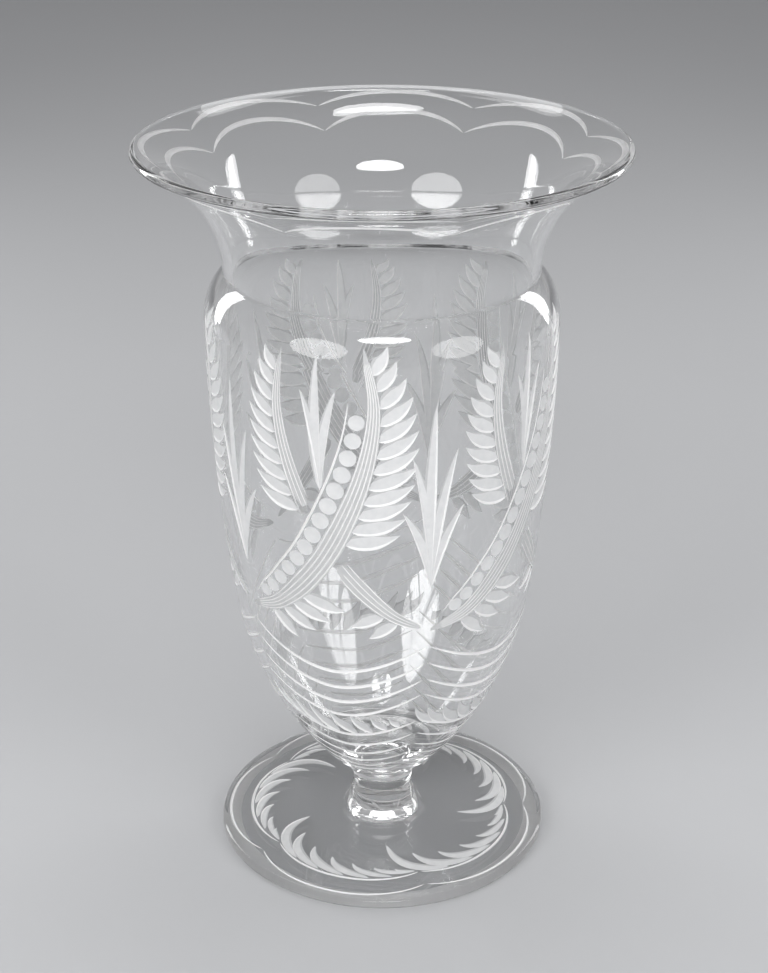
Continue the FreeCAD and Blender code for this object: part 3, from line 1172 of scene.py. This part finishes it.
def cut_glass(name, dark, light, rough, through, mottle=0.08):
    """Ground glass: a pale satin that scatters light back and lets some through, mottled by the
    wheel's grain."""
    material, nodes, links, shader = new_material(name)
    settle(shader, IOR=GLASS_IOR, Transmission_Weight=0.1)
    patches = noise(nodes, links, scale=420.0, detail=4.0)
    grain = noise(nodes, links, scale=3200.0, detail=2.0)
    colour = tint(nodes, links, patches, dark, light)
    links.new(colour, shader.inputs["Base Color"])
    mottled = ramp(nodes, links, patches, low=rough - mottle, high=rough + mottle)
    links.new(mottled, shader.inputs["Roughness"])
    normal = bump(nodes, links, grain, distance=0.00004, strength=0.5)
    links.new(normal, shader.inputs["Normal"])
    behind = nodes.new("ShaderNodeBsdfTranslucent")
    links.new(colour, behind.inputs["Color"])
    links.new(normal, behind.inputs["Normal"])
    both = nodes.new("ShaderNodeMixShader")
    both.inputs["Fac"].default_value = through
    links.new(shader.outputs["BSDF"], both.inputs[1])
    links.new(behind.outputs["BSDF"], both.inputs[2])
    links.new(both.outputs["Shader"], nodes["Material Output"].inputs["Surface"])
    return material


def fused_joint():
    """Where two pieces are fused there is no surface, so light goes straight on."""
    material, _, _, shader = new_material("fused_joint")
    settle(shader, IOR=GLASS_IOR, Transmission_Weight=1.0, Alpha=0.0)
    return material


# One material for each finish, in the order of their numbers. The cuts' two last values are their
# roughness and the share of light that they let through.
materials = [
    clear_glass(),
    cut_glass("satin_cut", (0.74, 0.75, 0.76), (0.90, 0.90, 0.90), 0.5, 0.36),
    cut_glass("faint_satin", (0.56, 0.57, 0.58), (0.72, 0.72, 0.72), 0.45, 0.38),
    cut_glass("bright_cut", (0.97, 0.97, 0.97), (1.0, 1.0, 1.0), 0.35, 0.35),
    fused_joint(),
    cut_glass("ground_ring", (0.82, 0.82, 0.82), (0.92, 0.92, 0.92), 0.4, 0.5),
]

glass_piece(
    "bowl_engraved", bowl_section, "bowl", materials, rim_cutters + body_cutters
)
glass_piece("wafer_polished", wafer_section, "wafer", materials)
glass_piece("stem_polished", stem_section, "stem", materials)
glass_piece("foot_engraved", foot_section, "foot", materials, foot_cutters)

# The floor, a little below the ground ring so that the two faces don't coincide.
FLOOR_RADIUS = 4.0
FLOOR_GAP = 0.02 * MM
FLOOR_STEPS = 96
floor_mesh = bpy.data.meshes.new("floor")
corners = [polar((0.0, 0.0), FLOOR_RADIUS, k * math.tau / FLOOR_STEPS) for k in range(FLOOR_STEPS)]
floor_mesh.from_pydata(
    [(x, y, FLOOR_HEIGHT - FLOOR_GAP) for x, y in corners], [], [tuple(range(FLOOR_STEPS))]
)
floor = placed("floor", floor_mesh)
floor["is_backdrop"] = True
PALE_GREY = (0.46, 0.465, 0.475)
CLOUDED = 0.985
material, nodes, links, shader = new_material("pale_floor")
settle(shader, Roughness=0.75, Specular_IOR_Level=0.2)
clouds = noise(nodes, links, scale=8.0, detail=3.0)
colour = tint(nodes, links, clouds, [c * CLOUDED for c in PALE_GREY], PALE_GREY)
links.new(colour, shader.inputs["Base Color"])
floor_mesh.materials.append(material)

# The surroundings: a grey that changes with the height of the view.
WORLD_SHADES = ((0.0, 0.40), (0.08, 0.36), (0.3, 0.26), (0.6, 0.26), (0.85, 0.42), (1.0, 0.55))
WORLD_BLUE = 1.02
world = bpy.data.worlds.new("soft_studio")
bpy.context.scene.world = world
world.use_nodes = True
nodes, links = world.node_tree.nodes, world.node_tree.links
direction = nodes.new("ShaderNodeTexCoord")
parts = nodes.new("ShaderNodeSeparateXYZ")
shades = nodes.new("ShaderNodeValToRGB")
links.new(direction.outputs["Generated"], parts.inputs["Vector"])
links.new(parts.outputs["Z"], shades.inputs["Fac"])
links.new(shades.outputs["Color"], nodes["Background"].inputs["Color"])
stops = shades.color_ramp.elements
for number, (height, shade) in enumerate(WORLD_SHADES):
    stop = stops[number] if number < len(stops) else stops.new(height)
    stop.position = height
    stop.color = (shade, shade, shade * WORLD_BLUE, 1.0)


def lamp(name, place, aim, width, depth, power):
    """A soft lamp at a place, turned to its aim."""
    light = bpy.data.lights.new(name, "AREA")
    light.shape = "ELLIPSE"
    light.size, light.size_y, light.energy = width, depth, power
    item = placed(name, light)
    item.location = place
    item.rotation_euler = (Vector(aim) - Vector(place)).to_track_quat("-Z", "Y").to_euler()
    return item


# The key and the fill aren't mirrored in the glass, so that they leave no large white spots.
centre = (cad_low + cad_high) / 2
for soft in (
    lamp("key", (-0.85, -0.95, 0.55), centre, 0.9, 0.8, 12.0),
    lamp("fill", (0.95, -0.80, 0.50), centre, 0.8, 0.8, 8.5),
):
    soft.visible_glossy = False
lamp("left_edge", (-0.75, 0.55, 0.40), centre, 0.15, 0.8, 2.2)
lamp("right_edge", (0.75, 0.55, 0.40), centre, 0.15, 0.8, 2.2)
lamp("overhead", (0.02, 0.16, 1.2), centre, 0.34, 0.18, 1.4)
lamp("front", (0.03, -0.95, 0.98), centre, 0.65, 0.22, 4.6)
lamp("back", (0.0, 1.3, 1.6), centre, 1.0, 0.6, 3.2)

# The photograph's viewpoint, with its pitch in degrees and its lens and sensor in millimetres.
CAMERA_BACK = 0.5755
CAMERA_HEIGHT = 0.3965
CAMERA_SIDE = 0.0006
CAMERA_PITCH = 24.74
CAMERA_LENS = 69.44
CAMERA_SENSOR = 36.0
camera_data = bpy.data.cameras.new("camera")
camera = placed("camera", camera_data)
camera_data.lens = CAMERA_LENS
camera_data.sensor_width = CAMERA_SENSOR
camera.location = (CAMERA_SIDE, -CAMERA_BACK, FLOOR_HEIGHT + CAMERA_HEIGHT)
camera.rotation_euler = (math.radians(90 - CAMERA_PITCH), 0, 0)
bpy.context.scene.camera = camera
bpy.context.scene.view_settings.view_transform = "Standard"

# Light is thrown to and fro inside the foot and the wall, more often than the four times that
# Cycles follows by default.
INNER_REFLECTIONS = 12
bpy.context.scene.cycles.glossy_bounces = INNER_REFLECTIONS

low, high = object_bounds()
